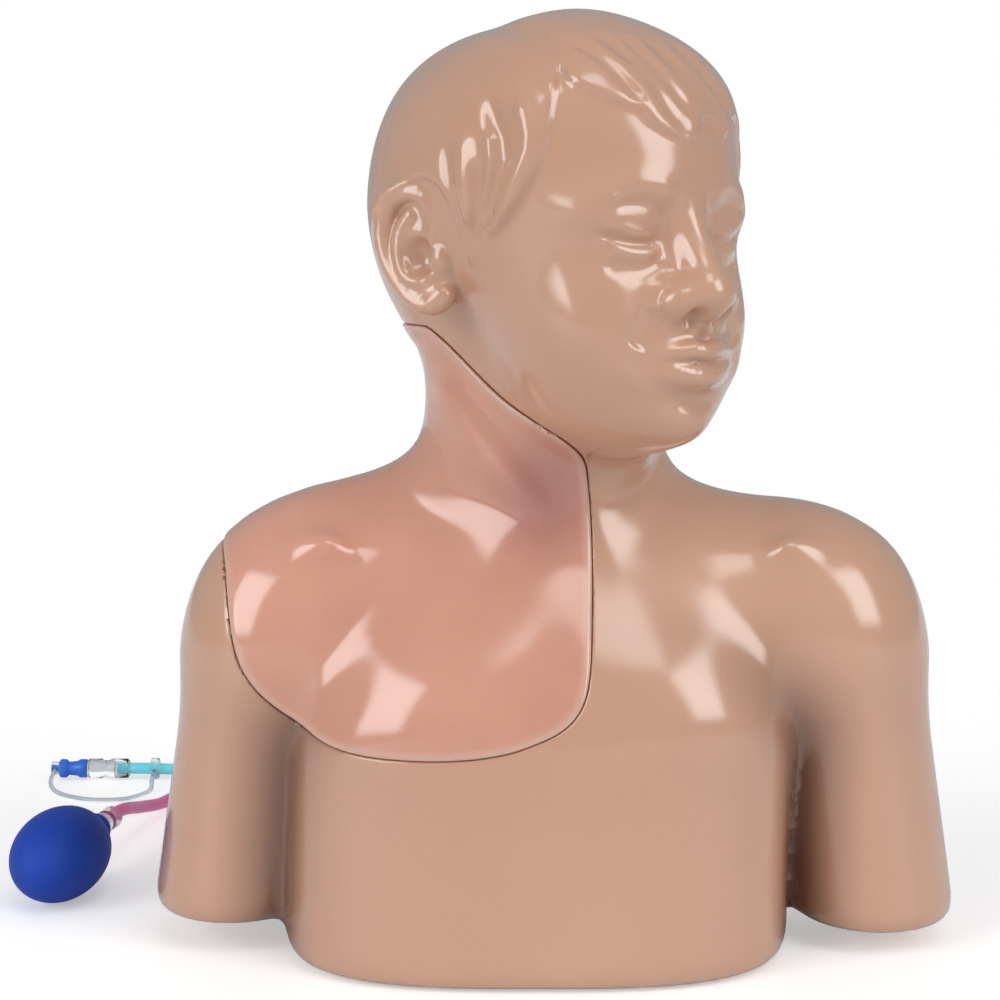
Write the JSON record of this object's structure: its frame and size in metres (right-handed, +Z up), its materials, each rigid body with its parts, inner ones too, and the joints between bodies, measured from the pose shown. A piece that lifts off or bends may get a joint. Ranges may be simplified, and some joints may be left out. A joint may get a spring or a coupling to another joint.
{
  "type": "ultrasound vascular access trainer",
  "caption": "Hollow child mannequin bust with a soft neck and chest insert that holds two vessels, fed by hoses with a pulse bulb and a plug.",
  "frame": {"origin": "centre of the underside of the flat base", "axes": "+Z up, -Y the way the chest faces, +X the mannequin's left; the head is turned 40 degrees to its left"},
  "size_m": [0.435, 0.3534, 0.3851],
  "materials": {
    "skin_plastic": "high-gloss tan moulded plastic",
    "tissue_gel": "translucent glossy pink elastomer",
    "vein_elastomer": "soft blue elastomer",
    "artery_elastomer": "soft red elastomer",
    "clear_plastic": "clear moulded plastic",
    "blue_fluid_hose": "clear hose full of pale blue fluid",
    "pink_fluid_hose": "clear hose full of pink fluid",
    "grommet_rubber": "matt black rubber",
    "plug_plastic": "blue moulded plastic",
    "bulb_rubber": "matt blue rubber"
  },
  "bodies": {
    "root": {"bust_shell": "skin_plastic", "tissue_insert": "tissue_gel", "jugular_vein": "vein_elastomer", "carotid_artery": "artery_elastomer", "vein_coupling": "clear_plastic", "artery_coupling": "clear_plastic", "vein_inner_hose": "blue_fluid_hose", "artery_inner_hose": "pink_fluid_hose", "vein_grommet": "grommet_rubber", "artery_grommet": "grommet_rubber", "vein_hose": "blue_fluid_hose", "artery_hose": "pink_fluid_hose", "vein_connector": "clear_plastic", "vein_plug": "plug_plastic", "plug_tether": "clear_plastic", "bulb_collar": "clear_plastic", "squeeze_bulb": "bulb_rubber"}
  },
  "joints": []
}
